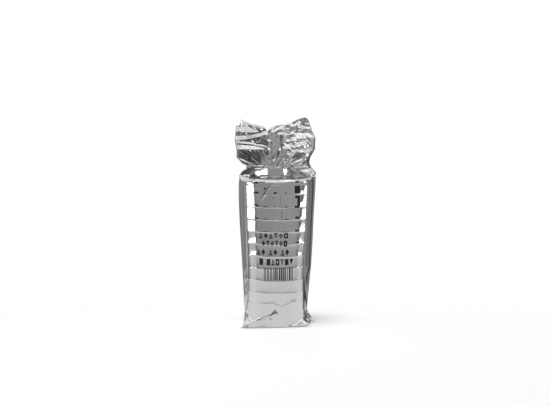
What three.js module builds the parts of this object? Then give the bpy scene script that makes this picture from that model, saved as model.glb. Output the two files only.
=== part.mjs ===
// A foil bag that holds one upright stack of round coffee pads, in millimetres, +Z up.
// It stands on its flat underside. The printed front faces -Y, and the stack's axis is the Z axis.
// The bag is one closed skin made of closed outlines, one above the other: a flat underside with
// the ends of the seal folded under it, a body hooped by the rims of the pads, a neck drawn in above
// the top pad, and the crumpled head where the foil spreads again up to its cut edge.
import * as THREE from "three";

// Driving sizes
const STACK_RADIUS = 31.5; // a round coffee pad is about 62 mm across
const PAD_COUNT = 12;
const PAD_PITCH = 12; // from one pad's rim to the next
const LOWEST_RIM = 9.8;
const HIGHEST_RIM = LOWEST_RIM + (PAD_COUNT - 1) * PAD_PITCH;
const RIM_PUSH = 0.7; // how far a pad's rim pushes the foil out
const RIM_HALF_HEIGHT = 1.7;
const CREASE_ANGLE = 57; // degrees from the front, or from the back, to a vertical crease

const SHOULDER_HEIGHT = HIGHEST_RIM + 2;
const NECK_LOW = 147.5;
const NECK_HIGH = 155.4;
const NECK_DEPTH = 17.5; // from the axis to the front of the neck
const NECK_FLAT = [-8, 5]; // the neck is flat between these, and folded back on either side
const NECK_FOLDED = { left: 14, right: 5, slope: 0.84 };
const HEAD_LOW = 156.4;
const HEAD_DEPTH = 20.5; // from the axis to the front of the head's lowest folds
const SHEET_GAP = 1.2; // between the two sheets at the cut edge
const LIP = { height: 154.6, out: 3.2 }; // the head's lowest folds hang a little over the neck

const COLUMNS = 80; // points round each outline
const HEAD_ROWS = 16;

// Pairs of a height and the bag's reach at that height, measured sideways from the axis.
const LEFT_REACH = [
  [0, 30.5], [12, 30.5], [22, 31.8], [40, 32.7], [60, 33.7], [84, 35], [102, 36], [122, 36.8],
  [138, 36.8], [147, 36], [152, 33], [156, 28], [159, 33.5], [165, 39], [172, 38.8], [182, 40.9],
  [197, 39.5],
];
const RIGHT_REACH = [
  [0, 31.5], [14, 31.3], [36, 33.2], [58, 35.3], [84, 36.8], [106, 37.6], [120, 38.4], [138, 39.4],
  [150, 39.7], [155, 35], [160, 33], [165, 34.2], [173, 38.8], [184, 39.2], [192, 35.4], [204, 33.4],
];
// Pairs of a height and the distance from the axis to the foil at the front.
const FRONT_DEPTH = [
  [0, STACK_RADIUS], [141, STACK_RADIUS], [SHOULDER_HEIGHT, 31], [146, 28.6], [147.3, 24],
  [148, NECK_DEPTH], [NECK_HIGH, NECK_DEPTH], [HEAD_LOW, HEAD_DEPTH],
];
// The same above the neck, for the head's left part, its middle and its right part.
const LEFT_DEPTH = [
  [HEAD_LOW, 24.2], [165, 21.6], [173, 19.8], [178, 15.8], [186.3, 12.6], [189.6, 12.2], [204, 6],
];
const MIDDLE_DEPTH = [[HEAD_LOW, 19.6], [168, 19], [178, 16.5], [190, 13.5], [197.5, 10]];
const RIGHT_DEPTH = [[HEAD_LOW, 20], [169, 18.8], [182, 12], [196, 6], [205, 2]];
// Pairs of a height and how far both sheets of the head's left part lean back there.
const LEAN = [[157, 0], [173, 0.8], [186.3, 7.6], [189.6, 7.5], [204, 14]];
// The wing low on the head's left runs straight back to its edge: its share of the depth is lost
// over a width that starts at x = -start.
const WING = { lost: 0.7, start: 8, width: 30 };
// Pairs of a height and how far a vertical crease stands off the stack.
const LEFT_CREASE = [[0, 0.5], [60, 0.9], [100, 2.2], [138, 3], [147, 2]];
const RIGHT_CREASE = [[0, 0.5], [60, 1], [100, 3], [138, 4.6], [147, 3]];
// The cut top edge: pairs of a share of the way across, from -1 to 1, and the height there.
const TOP_EDGE = [
  [-1, 196], [-0.92, 196.4], [-0.87, 202.5], [-0.75, 200], [-0.6, 198], [-0.35, 196], [-0.25, 194],
  [-0.2, 190], [-0.15, 194], [0, 196.5], [0.3, 197.8], [0.45, 199], [0.6, 202], [0.75, 203.6],
  [0.85, 204.4], [0.9, 204], [0.95, 202], [1, 194],
];

// The underside's corners: the ends of the folded seal, as pairs of an angle from the front in
// degrees and a distance from the axis. The foil runs straight from one corner to the next.
const SEAL_LEFT = [[-93.5, STACK_RADIUS], [-45, 47.5], [3.5, STACK_RADIUS]];
const SEAL_RIGHT = [[12, STACK_RADIUS], [47, 39.2], [66, 39.4], [87, 42.2], [128.7, STACK_RADIUS]];
// Pairs of an angle and how high up the bag the pressed ends of the seal are drawn out, and pairs of
// an angle and the share of that height over which the foil comes back: 1 makes a slope, and a
// small share makes an upright flap with a narrow shelf on top.
const SEAL_RISE = [
  [-93, 13], [-62, 12], [-50, 5], [-45, 2.5], [-42, 4], [-37, 6.2], [-27, 7.8], [-17, 11], [-14, 12.3],
  [3.5, 12.3], [12, 1.2], [25, 1.5], [35, 2.5], [47, 4], [66, 8], [87, 13], [128, 10],
];
const SEAL_SOFT = [
  [-50, 1], [-42, 0.2], [-16, 0.16], [-11, 0.4], [-4, 1], [12, 0.8], [35, 0.4], [47, 0.6], [66, 1],
];
// Each side panel has a soft upright fold along its middle.
const PANEL_FOLD = { out: 0.9, middle: 0.5, width: 0.3 };

const radians = THREE.MathUtils.degToRad;
const mix = THREE.MathUtils.lerp;
const smooth = THREE.MathUtils.smoothstep;

// The value at one place in a table of pairs, on straight lines between its entries.
function lookUp(table, at) {
  const next = table.findIndex(([place]) => place > at);
  if (next === 0) return table[0][1];
  if (next < 0) return table.at(-1)[1];
  const [[lowPlace, low], [highPlace, high]] = [table[next - 1], table[next]];
  return mix(low, high, (at - lowPlace) / (highPlace - lowPlace));
}

// A number from 0 to 1 that is always the same for one index and seed.
function scatter(index, seed) {
  const wave = Math.sin(index * 12.9898 + seed * 78.233) * 43758.5453;
  return wave - Math.floor(wave);
}

// A line that turns sharply up and down at every period, by uneven amounts up to 1.
function zigzag(along, period, seed) {
  const cell = Math.floor(along / period + 1e-9);
  const turn = (i) => (i % 2 === 0 ? 1 : -1) * (0.45 + 0.55 * scatter(i, seed));
  return mix(turn(cell), turn(cell + 1), along / period - cell);
}

// A straight fold seen from the front, from (x0, z0) to (x1, z1): a ridge if height is over 0.
function fold(x, z, { x0, z0, x1, z1, width, height }) {
  const length = Math.hypot(x1 - x0, z1 - z0);
  const [alongX, alongZ] = [(x1 - x0) / length, (z1 - z0) / length];
  const along = (x - x0) * alongX + (z - z0) * alongZ;
  const across = Math.abs((z - z0) * alongX - (x - x0) * alongZ);
  const past = Math.max(0, -along, along - length);
  return height * Math.max(0, 1 - across / width) * Math.max(0, 1 - past / width);
}

// How far the pads' rims push the foil out at a height.
function hoop(height) {
  const rim = Math.round((height - LOWEST_RIM) / PAD_PITCH);
  if (rim < 1 || rim >= PAD_COUNT) return 0;
  return RIM_PUSH * Math.max(0, 1 - Math.abs(height - LOWEST_RIM - rim * PAD_PITCH) / RIM_HALF_HEIGHT);
}

// The body's outline at one height. The angle is in degrees from the front, over 0 to the right.
// The foil lies round the pads at the front and the back. It stands off them at four vertical
// creases, and the two side panels between the creases run out to the bag's left and right edges.
function bodyPoint(angle, height) {
  const right = angle >= 0;
  const fromFront = Math.abs(angle);
  const turn = fromFront > 90 ? 180 - fromFront : fromFront;
  const reach = lookUp(right ? RIGHT_REACH : LEFT_REACH, height);
  const step = lookUp(right ? RIGHT_CREASE : LEFT_CREASE, height);
  const depth = lookUp(FRONT_DEPTH, height) + hoop(height);
  const onArc = depth + step * Math.min(1, turn / CREASE_ANGLE) ** 2.4;
  const panel = Math.max(0, (turn - CREASE_ANGLE) / (90 - CREASE_ANGLE));
  const tight = Math.max(0, 1 - (reach - STACK_RADIUS) / 5);
  const ridge = PANEL_FOLD.out * Math.max(0, 1 - Math.abs(panel - PANEL_FOLD.middle) / PANEL_FOLD.width);
  const slack = right ? smooth(height, 38, 62) : 1; // the right panel is drawn flat near the foot
  const bulge = (4.5 * panel * (1 - panel) * Math.min(1, tight) + ridge) * slack;
  const corner = radians(Math.min(turn, CREASE_ANGLE));
  const x = mix(onArc * Math.sin(corner), reach + hoop(height) * tight, panel) + bulge;
  const y = mix(onArc * Math.cos(corner), 0, panel) + bulge / 2;
  return [right ? x : -x, fromFront > 90 ? y : -y];
}

// How many times further out the foil lies at the underside, where it is drawn out to the corners
// of the seal: the distance to the straight line between two corners, over the stack's radius.
function drawnOut(angle, height) {
  const soft = lookUp(SEAL_SOFT, angle);
  const left = Math.min(1, Math.max(0, (1 - height / lookUp(SEAL_RISE, angle)) / soft));
  const rise = left ** (0.85 + 0.65 * soft);
  for (const corners of [SEAL_LEFT, SEAL_RIGHT]) {
    for (let i = 0; i + 1 < corners.length; i++) {
      const [[fromAngle, from], [toAngle, to]] = [corners[i], corners[i + 1]];
      if (angle < fromAngle || angle > toAngle) continue;
      const [before, after] = [radians(angle - fromAngle), radians(toAngle - angle)];
      const line = (from * to * Math.sin(before + after)) / (from * Math.sin(before) + to * Math.sin(after));
      return 1 + (line / STACK_RADIUS - 1) * rise;
    }
  }
  return 1;
}

// Broad folds of the head: nearly level ones on the left, an upright one in the middle, and
// crossed ones on the right.
const HEAD_FOLDS = [
  { x0: -33, z0: 181.5, x1: -11, z1: 187, width: 3.2, height: 3 },
  { x0: -40, z0: 179, x1: -22, z1: 178, width: 2.4, height: 0.8 },
  { x0: -30, z0: 197.5, x1: -13, z1: 193.5, width: 2.4, height: 1 },
  { x0: -10, z0: 190, x1: -18, z1: 181, width: 2.4, height: 1 },
  { x0: -6.3, z0: 174, x1: -6.2, z1: 160, width: 2.4, height: 0.8 },
  { x0: 4, z0: 190, x1: 32, z1: 189, width: 2.8, height: -1.3 },
  { x0: 14, z0: 181, x1: 34, z1: 184.5, width: 2.6, height: 1.2 },
  { x0: 12, z0: 174, x1: 34, z1: 178, width: 2.6, height: 1.3 },
  { x0: 18, z0: 158, x1: 33, z1: 165, width: 3.2, height: 1.6 },
  { x0: 10, z0: 168, x1: 22, z1: 181, width: 2.6, height: -1.3 },
  { x0: 15, z0: 196, x1: 33, z1: 192, width: 2.6, height: 1.4 },
];

// Crumples that cross each other at a place on the head. They are stronger on its right half.
function crumple(x, z, seed) {
  const rough = 0.15 + 0.6 * smooth(x, 4, 11);
  return rough * (zigzag(x * 0.8 + z * 0.6, 9, seed) + 0.8 * zigzag(x * 0.5 - z * 0.87, 8, seed + 1));
}

// Pairs of a height and the depth of the sharp pleats that run up out of the neck into the head.
const PLEAT_DEPTH = [[NECK_LOW, 0], [NECK_HIGH, 0.2], [160, 0.5], [172, 0.5], [190, 0.2]];
const PLEAT_WIDTH = 0.1; // as a share of the way across

// How far the front of the neck or the head lies from the axis, before its folds.
function depthAt(x, height) {
  const [toLeft, toRight] = [smooth(-x, 8, 16), smooth(x, 5, 11)];
  const folded = Math.min(NECK_FOLDED.left, Math.max(0, NECK_FLAT[0] - x)) +
    Math.min(NECK_FOLDED.right, Math.max(0, x - NECK_FLAT[1]));
  const neck = lookUp(FRONT_DEPTH, height) -
    NECK_FOLDED.slope * folded * smooth(height, 146.8, 148) * (1 - smooth(height, NECK_HIGH, HEAD_LOW));
  const head = lookUp(MIDDLE_DEPTH, height) * (1 - toLeft - toRight) +
    lookUp(LEFT_DEPTH, height) * toLeft + lookUp(RIGHT_DEPTH, height) * toRight;
  return height < HEAD_LOW ? neck : head;
}

// How far one sheet of the head lies from the axis at a place, with its folds. Where the two sheets
// come together at the left and right edges, the folds die away. A lobe low on the right keeps its
// depth almost to the edge, and the wing on the left loses it evenly.
function sheetOut(across, x, height, seed) {
  const lobe = smooth(x, 12, 18) * smooth(height, 157, 160) * (1 - smooth(height, 168, 173));
  const rounded = Math.max(0, 1 - Math.abs(across) ** (2.3 + 7 * lobe)) ** 0.62;
  const wing = smooth(-x, 2, 12) * smooth(height, HEAD_LOW, 158) * (1 - smooth(height, 172, 178));
  const lost = WING.lost * Math.min(1, Math.max(0, (-WING.start - x) / WING.width));
  const straight = (1 - lost) * Math.min(1, (1 - Math.abs(across)) / 0.05) ** 0.5;
  const swell = depthAt(x, height) * mix(rounded, straight, wing);
  const inHead = smooth(height, NECK_HIGH - 1, NECK_HIGH + 6);
  let relief = lookUp(PLEAT_DEPTH, height) * zigzag(across, PLEAT_WIDTH, seed) + inHead * crumple(x, height, seed + 5);
  for (const one of HEAD_FOLDS) relief += inHead * fold(x, height, one);
  const edge = Math.min(1, (1 - Math.abs(across)) * 8);
  return Math.max(SHEET_GAP * edge / 2, swell + relief * Math.min(1, swell / 9));
}

// The outline of the neck and the head at one height. The point is found from its share of the
// way across, from -1 at the left edge to 1 at the right, on the front sheet or on the back one.
// Towards the cut edge the back sheet comes forward until the two lie together.
function headPoint(across, height, front, inHead) {
  const x = across * lookUp(across < 0 ? LEFT_REACH : RIGHT_REACH, height);
  const frontOut = sheetOut(across, x, height, 3);
  const gap = SHEET_GAP * Math.min(1, (1 - Math.abs(across)) * 8);
  const back = mix(sheetOut(-across, -x, height, 17), gap - frontOut, smooth(inHead, 0.45, 1));
  const wave = smooth(height, NECK_HIGH - 1, NECK_HIGH + 6) * 1.6 * zigzag(x + 3, 17, 41) * Math.abs(across) ** 2;
  const lean = lookUp(LEAN, height) * smooth(-x, 12, 26) -
    2 * smooth(-x, 20, 33) * smooth(height, 155, 157) * (1 - smooth(height, 157, 169));
  return [x, (front ? -frontOut : back) + wave + lean];
}

// One point of the bag's skin, on one row and at one angle. Up to the neck a row is level, and
// above it the rows spread out to follow the cut top edge.
function skinPoint(angle, { level, inHead = 0, lip = 0 }) {
  const fromFront = Math.abs(angle);
  const front = fromFront <= 90;
  const even = (Math.sign(angle) * (front ? fromFront : 180 - fromFront)) / 90;
  const height = mix(level, lookUp(TOP_EDGE, even), inHead ** 1.15);
  const spread = mix(Math.sin(radians(even * 90)), even, Math.sqrt(inHead));
  const [bodyX, bodyY] = bodyPoint(angle, Math.min(height, NECK_LOW + 1));
  const [headX, headY] = headPoint(spread, height, front, inHead);
  const share = smooth(height, SHOULDER_HEIGHT, NECK_LOW + 1);
  const overhang = (front ? -1 : 1) * lip * Math.cos(radians(even * 90));
  const out = drawnOut(angle, height);
  return new THREE.Vector3(mix(bodyX, headX, share) * out, mix(bodyY, headY, share) * out + overhang, height);
}

// All the rows, from the underside up: the drawn-out seal, three rows for each rim, the shoulder,
// the neck, the overhanging lip, and the head.
function skinRows() {
  const levels = [0, 1, 2.5, 4.5, 7, 10, 14];
  for (let rim = 1; rim < PAD_COUNT; rim++) {
    const centre = LOWEST_RIM + rim * PAD_PITCH;
    levels.push(centre - RIM_HALF_HEIGHT, centre, centre + RIM_HALF_HEIGHT);
  }
  levels.push(SHOULDER_HEIGHT, 145.2, 146.5, 147.4, 148.2, 151.5, NECK_HIGH);
  const head = Array.from({ length: HEAD_ROWS }, (_, i) => ({ level: HEAD_LOW, inHead: i / (HEAD_ROWS - 1) }));
  return [...levels.map((level) => ({ level })), { level: LIP.height, lip: LIP.out }, ...head];
}

// The whole skin as a closed mesh: rows of points joined by strips, a flat underside triangulated
// in its own plane, and the front and back sheets joined along the cut edge.
function bagGeometry() {
  const rows = skinRows();
  const angles = Array.from({ length: COLUMNS }, (_, i) => -180 + (i * 360) / COLUMNS);
  const points = rows.flatMap((row) => angles.map((angle) => skinPoint(angle, row)));
  const triangles = [];
  for (let row = 0; row + 1 < rows.length; row++) {
    for (let i = 0; i < COLUMNS; i++) {
      const [a, b] = [row * COLUMNS + i, row * COLUMNS + ((i + 1) % COLUMNS)];
      triangles.push([a, b, b + COLUMNS], [a, b + COLUMNS, a + COLUMNS]);
    }
  }
  const outline = points.slice(0, COLUMNS).map((p) => new THREE.Vector2(p.x, p.y));
  for (const [a, b, c] of THREE.ShapeUtils.triangulateShape(outline, [])) triangles.push([a, c, b]);
  const top = (rows.length - 1) * COLUMNS;
  const half = COLUMNS / 2;
  const front = (i) => top + COLUMNS / 4 + i; // counted from the left edge
  const back = (i) => top + ((COLUMNS / 4 - i + COLUMNS) % COLUMNS);
  for (let i = 0; i < half; i++) {
    if (i > 0) triangles.push([front(i), front(i + 1), back(i)]);
    if (i < half - 1) triangles.push([front(i + 1), back(i + 1), back(i)]);
  }
  const geometry = new THREE.BufferGeometry().setFromPoints(points);
  geometry.setIndex(triangles.flat());
  return geometry;
}

const foil = new THREE.MeshStandardMaterial({ color: 0xc9c8cb, roughness: 0.18, metalness: 1 });
const bag = new THREE.Mesh(bagGeometry(), foil);
bag.name = "foil_bag";

const group = new THREE.Group();
group.add(bag);
export default group;
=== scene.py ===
# %% [markdown]
# A bag of coffee pads in bright foil. The film is drawn tight round one upright stack of round
# pads, gathered above the top pad, and left to spread and crumple up to its cut edge.
# This lesson builds the film as one fine surface on a grid, prints it, and lights it as a mirror
# has to be lit: a foil has hardly a colour of its own, so it shows whatever stands round it.
# Lengths are worked out in millimetres and turned into metres when a mesh is made.

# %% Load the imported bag
import math

import bpy
import numpy as np
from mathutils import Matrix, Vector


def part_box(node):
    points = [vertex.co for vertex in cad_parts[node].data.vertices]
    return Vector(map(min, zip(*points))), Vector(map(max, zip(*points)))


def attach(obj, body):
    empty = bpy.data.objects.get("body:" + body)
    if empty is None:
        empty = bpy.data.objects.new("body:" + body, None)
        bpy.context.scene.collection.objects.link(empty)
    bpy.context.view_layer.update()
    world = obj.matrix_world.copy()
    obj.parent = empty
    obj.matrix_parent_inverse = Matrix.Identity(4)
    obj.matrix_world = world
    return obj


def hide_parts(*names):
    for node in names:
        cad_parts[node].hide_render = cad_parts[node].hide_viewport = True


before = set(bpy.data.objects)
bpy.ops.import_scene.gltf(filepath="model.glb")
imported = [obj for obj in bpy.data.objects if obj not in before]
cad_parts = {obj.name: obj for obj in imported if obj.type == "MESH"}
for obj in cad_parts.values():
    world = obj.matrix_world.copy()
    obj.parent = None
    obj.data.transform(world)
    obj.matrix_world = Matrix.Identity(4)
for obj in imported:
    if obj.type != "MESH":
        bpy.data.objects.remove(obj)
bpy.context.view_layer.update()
MM = 0.001
bag_low, bag_high = (np.array(corner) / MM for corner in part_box("foil_bag"))
print("packed bag, mm:", bag_low.round(1), "to", bag_high.round(1))

# %% [markdown]
# The camera stands about a metre away, a little above the bag's top, and looks slightly down.
# A long lens keeps the bag's upright edges straight.

# %% Camera
CAMERA_PLACE = (-0.78 * MM, -1010.96 * MM, 208.2 * MM)
CAMERA_DOWN = math.radians(5.017)
LENS, SENSOR = 66.85, 36

camera = bpy.data.objects.new("camera", bpy.data.cameras.new("camera"))
camera.location = CAMERA_PLACE
camera.rotation_euler = (math.pi / 2 - CAMERA_DOWN, 0, 0)
camera.data.lens = LENS
camera.data.sensor_width = SENSOR
bpy.context.collection.objects.link(camera)
bpy.context.scene.camera = camera
bpy.context.scene.view_settings.view_transform = "Standard"
print("camera", round(camera.data.lens, 1), "mm lens")

# %% [markdown]
# Creased foil is made of flat facets that meet in sharp lines. Three small helpers describe it:
# a table read on straight lines, a zigzag whose turns are uneven but always the same, and a single
# straight fold that dies away at its ends.

# %% Helpers for creased foil
def smooth(value, low, high):
    """0 below low, 1 above high, and an S-shaped ramp between."""
    t = np.clip((value - low) / (high - low), 0, 1)
    return t * t * (3 - 2 * t)


def look_up(table, at):
    """The value at a place in a table of pairs, on straight lines between its entries."""
    return np.interp(at, *np.array(table, float).T)


def scatter(index, seed):
    """A number from 0 to 1, always the same for an index and seed: the tail of a large sine."""
    wave = np.sin(index * 12.9898 + seed * 78.233) * 43758.5453
    return wave - np.floor(wave)


def zigzag(along, period, seed, rounding=0.25):
    """Facets that turn up and down at every period, by 0.45 to 1, with slightly rounded turns."""
    cell = np.floor(along / period)
    t = along / period - cell
    t = (1 - rounding) * t + rounding * t * t * (3 - 2 * t)

    def turn(i):
        return np.where(i % 2 == 0, 1, -1) * (0.45 + 0.55 * scatter(i, seed))

    return turn(cell) * (1 - t) + turn(cell + 1) * t


def fold(x, z, start, end, width, height):
    """A tent along the line from start to end: its height falls straight to 0 at width away."""
    start, end = np.array(start, float), np.array(end, float)
    length = np.hypot(*(end - start))
    ux, uz = (end - start) / length
    along = (x - start[0]) * ux + (z - start[1]) * uz
    across = np.abs((z - start[1]) * ux - (x - start[0]) * uz)
    past = np.maximum(0, np.maximum(-along, along - length))
    return height * np.clip(1 - across / width, 0, 1) * np.clip(1 - past / (2 * width), 0, 1)


print("zigzag turns:", zigzag(np.arange(4.0), 1, 7).round(2))

# %% [markdown]
# The body is a tube whose outline is known at every height. At the front and back the film lies
# round the pads. It stands off them at four upright creases, and between the creases two side
# panels run out to the bag's left and right edges. The tables hold a height and a size.

# %% Sizes of the body
STACK_RADIUS = 31.5
PAD_COUNT = 12
PAD_PITCH = 12.0
LOWEST_RIM = 9.8
CREASE_ANGLE = 57.0
SHOULDER = LOWEST_RIM + (PAD_COUNT - 1) * PAD_PITCH + 2
NECK_LOW, NECK_HIGH, HEAD_LOW = 147.5, 155.4, 156.4
NECK_DEPTH, HEAD_DEPTH = 17.5, 20.5

LEFT_REACH = [
    (0, 30.5), (12, 30.5), (22, 31.8), (40, 32.7), (60, 33.7), (84, 35), (102, 36), (122, 36.8),
    (138, 36.8), (147, 36), (152, 33), (156, 28), (159, 33.5), (165, 39), (172, 38.8), (182, 40.9),
    (197, 39.5),
]
RIGHT_REACH = [
    (0, 31.5), (14, 31.3), (36, 33.2), (58, 35.3), (84, 36.8), (106, 37.6), (120, 38.4),
    (138, 39.4), (150, 39.7), (155, 35), (160, 33), (165, 34.2), (173, 38.8), (184, 39.2),
    (192, 35.4), (204, 33.4),
]
FRONT_DEPTH = [
    (0, 31.5), (142.4, 31.5), (SHOULDER, 31), (145, 28.4), (145.8, 24),
    (146.3, NECK_DEPTH - 0.4), (NECK_HIGH, NECK_DEPTH - 0.05), (HEAD_LOW, HEAD_DEPTH),
]
LEFT_CREASE = [(0, 0.5), (60, 0.9), (100, 2.2), (138, 3), (147, 2)]
RIGHT_CREASE = [(0, 0.5), (60, 1), (100, 3), (138, 4.6), (147, 3)]


def crease_step(angle, height):
    """How far the film stands off the stack at the upright crease on one side."""
    return np.where(angle >= 0, look_up(RIGHT_CREASE, height), look_up(LEFT_CREASE, height))


def arc_radius(turn, angle, height):
    """The film's distance from the axis: the stack, and a step that grows towards the crease."""
    share = np.clip(turn / CREASE_ANGLE, 0, 1)
    return look_up(FRONT_DEPTH, height) + crease_step(angle, height) * share**2.4


print("rims up to", SHOULDER - 2, "mm")

# %% [markdown]
# Each pad's rim pushes the film out in a narrow hoop, and the film between two rims is nearly
# straight. Real hoops wander a little, so the grid's rows wander with them: a row near a rim is
# moved up or down, and the hoop stays sharp on the grid.

# %% Hoops and the film between them
RIM_PUSH, SAG = 0.17, 0.1
SHARP_BELOW, RIM_WIDTH_LOW, RIM_WIDTH_HIGH = 6, 0.35, 0.5
SLOW_WAVE, KINK, KINK_STEP = 0.35, 0.22, 15
# The hoops under this rim are faint, and nearly vanish this far from the middle on either side.
FAINT_BELOW, FAINT_LEFT, FAINT_RIGHT, FAINT_WIDTH = 7, 20.5, 23, 4.7
WEAK_RIM, WEAK_PUSH = 10, 0.45
# The lowest rim's crease kinks across the front: x, and its height there.
LOW_CREASE = [
    (-30, 22.6), (-17.3, 23.3), (-3.3, 24.2), (5.7, 20.8), (16.7, 25.2), (22, 23.8), (30, 23),
]
# A slump leans in by this slope over a short or a long way above the rim.
FIRST_SLUMP, LONG_SLUMPS = 5, (9, 10)
SLUMP_SLOPE, SHORT_SLUMP, LONG_SLUMP = 0.13, 2.6, 6.5
SLUMP_LEFT, SLUMP_RIGHT, SLUMP_WIDTH = 20.5, 22.5, 2.6


def rim_of(level):
    """The number of the nearest rim, and the distance above it."""
    rim = np.clip(np.round((level - LOWEST_RIM) / PAD_PITCH), 1, PAD_COUNT - 1)
    return rim, level - LOWEST_RIM - rim * PAD_PITCH


def wander(angle, level):
    """How far a row is moved up: slow waves and small kinks that fade away from the rim."""
    rim, away = rim_of(level)
    slow = SLOW_WAVE * np.sin(np.radians(angle) * 1.5 + 6.28 * scatter(rim, 2))
    kinks = KINK * zigzag(angle, KINK_STEP, rim)
    x = STACK_RADIUS * np.sin(np.radians(angle))
    lowest = np.where(np.abs(angle) < 90, look_up(LOW_CREASE, x) - LOWEST_RIM - PAD_PITCH, 0)
    return np.where(rim == 1, lowest, slow + kinks) * (1 - smooth(np.abs(away), 1.2, 5.5))


def hoops(angle, level):
    """The rims' push, a ridge of uneven strength shaped as exp(-(away / width)^2), and a slight sag
    between two rims."""
    rim, away = rim_of(level)
    strength = RIM_PUSH * (0.7 + 0.5 * scatter(rim, 9)) * (0.8 + 0.3 * zigzag(angle, 9, rim + 30))
    x = STACK_RADIUS * np.sin(np.radians(angle))
    beside = np.exp(-(((np.abs(x) - np.where(x > 0, FAINT_RIGHT, FAINT_LEFT)) / FAINT_WIDTH) ** 2))
    weak = np.where(rim == WEAK_RIM, WEAK_PUSH, 1)
    strength = strength * np.where(rim < FAINT_BELOW, 0.6 - 0.55 * beside, weak)
    width = np.where(rim < SHARP_BELOW, RIM_WIDTH_LOW, RIM_WIDTH_HIGH)
    ridge = strength * np.exp(-((away / width) ** 2))
    share = np.clip(np.abs(away) / (PAD_PITCH / 2), 0, 1)
    inside = (level > LOWEST_RIM + PAD_PITCH / 2) & (level < SHOULDER)
    return np.where(inside, ridge - SAG * (2 * share - share**2), 0)


def slumps(angle, x, level):
    """Beside the creases the film leans in above each rim from the fifth up: it stands out most
    1 mm above the rim, and falls back on a straight line."""
    rim, away = rim_of(level)
    above = np.where(away > 0, away, 99)
    right = x > 0
    long = np.where(right & np.isin(rim, LONG_SLUMPS), LONG_SLUMP, SHORT_SLUMP)
    lean = np.clip(above, 0, 1) * np.clip(1 - above / long, 0, 1)
    near = np.exp(-(((np.abs(x) - np.where(right, SLUMP_RIGHT, SLUMP_LEFT)) / SLUMP_WIDTH) ** 2))
    return SLUMP_SLOPE * long * lean * near * (rim >= FIRST_SLUMP) * (np.abs(angle) < 90)


middle = np.array([0.0])
fifth_rim = LOWEST_RIM + 5 * PAD_PITCH
print("hoop in the middle of the fifth rim, mm:", hoops(middle, middle + fifth_rim).round(3))

# %% [markdown]
# Below the lowest rim the bottom seal is folded under. Its ends stick out as flat corners, so the
# film is drawn out towards straight lines between those corners.

# %% The drawn-out bottom
SEAL_LEFT = [(-93.5, STACK_RADIUS), (-45, 47.5), (3.5, STACK_RADIUS)]
SEAL_RIGHT = [(12, STACK_RADIUS), (47, 39.2), (66, 39.4), (87, 42.2), (128.7, STACK_RADIUS)]
# How high up the film is drawn out at each angle, and over which share of that height it comes
# back: all of it makes a slope, and a small part makes an upright flap with a narrow shelf on top.
SEAL_RISE = [
    (-93, 13), (-62, 12), (-50, 5), (-45, 2.8), (-42, 4.4), (-37, 6.8), (-27, 9), (-20, 10.6),
    (-13, 12.2), (-8, 13.2), (3.5, 13.2), (12, 1.2), (25, 1.5), (35, 2.5), (47, 4), (66, 8),
    (87, 13), (128, 10),
]
SEAL_SOFT = [
    (-50, 1), (-42, 0.3), (-37, 0.18), (-16, 0.13), (-11, 0.25), (-4, 1), (12, 0.5), (35, 0.25),
    (47, 0.4), (66, 1),
]
RIGHT_CRUSH, LEFT_TIP_CRUSH = 0.13, 0.2


def drawn_out(angle, height):
    """How many times further out the film lies: the straight line between two corners, in polar
    form, over the stack's radius. Slanting facets crush it at the right end and at the left tip,
    and it fades with height."""
    out = np.zeros_like(angle)
    for corners in (SEAL_LEFT, SEAL_RIGHT):
        for (a0, r0), (a1, r1) in zip(corners, corners[1:]):
            before, after = np.radians(angle - a0), np.radians(a1 - angle)
            line = r0 * r1 * np.sin(before + after) / (r0 * np.sin(before) + r1 * np.sin(after))
            out = np.where((angle >= a0) & (angle <= a1), line / STACK_RADIUS - 1, out)
    slants = zigzag(angle + 1.6 * height, 5.1, 71) + 0.9 * zigzag(angle - 2.4 * height, 8.3, 74)
    crushed = 1 + RIGHT_CRUSH * smooth(angle, 28, 50) * slants
    tip = smooth(-angle, 36, 44) * (1 - smooth(-angle, 52, 62))
    crushed = crushed + LEFT_TIP_CRUSH * tip * zigzag(angle - 2 * height, 4.1, 73)
    soft = look_up(SEAL_SOFT, angle)
    left = np.clip((1 - height / look_up(SEAL_RISE, angle)) / soft, 0, 1)
    return 1 + out * crushed * left ** (0.85 + 0.65 * soft)


left_corner = drawn_out(np.array([-45.0]), np.array([0.0])) * STACK_RADIUS
print("seal's left corner from the axis, mm:", left_corner.round(1))

# %% [markdown]
# A tight film still has a few straight folds of its own: under the shoulder, on the slant where a
# corner was pulled, and along the folded seal. Each is a line on the front, from start to end in x
# and height, with a width and how far it stands out. They are the last thing added to the film's
# distance from the axis.

# %% Folds of the front
BODY_FOLDS = [
    ((-23, 140.6), (-6, 139.7), 0.6, 0.3),
    ((-6, 139.7), (23, 140.6), 0.6, 0.3),
    ((-22, 144.6), (-8, 142.6), 0.8, -0.35),
    ((-8, 142.6), (6, 142.6), 0.8, -0.35),
    ((6, 142.6), (22, 144.4), 0.8, -0.35),
    ((-5.8, 137.5), (-13.6, 125.7), 1.6, 0.42),
    ((6.5, 131), (6.8, 96), 0.9, -0.25),
    ((-21.6, 19.5), (-21.6, 12.5), 0.9, 0.25),
    ((-22.3, 2.6), (-18.7, 5.2), 1.0, 0.7),
    ((-18.7, 5.2), (-7.1, 10.2), 1.0, 0.75),
    ((-22, 1.6), (-10, 2.6), 0.9, -0.5),
    ((-7.1, 10.2), (-3.6, 12.8), 0.9, 0.6),
    ((25.5, 20), (27, 8), 1.4, 0.35),
]
FLAT_TURN, FLAT_WIDTH = 0.07, 13


def tooth(x, z):
    """A small corner of film that stands out: the lowest of three planes."""
    left = 0.42 * (x + 3.7) - 0.25 * (z - 13)
    right = 1.3 * (-0.762 * (x - 1.6) - 0.648 * (z - 13.6))
    return np.clip(np.minimum(np.minimum(left, right), z - 12.6), 0, 2)


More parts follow.
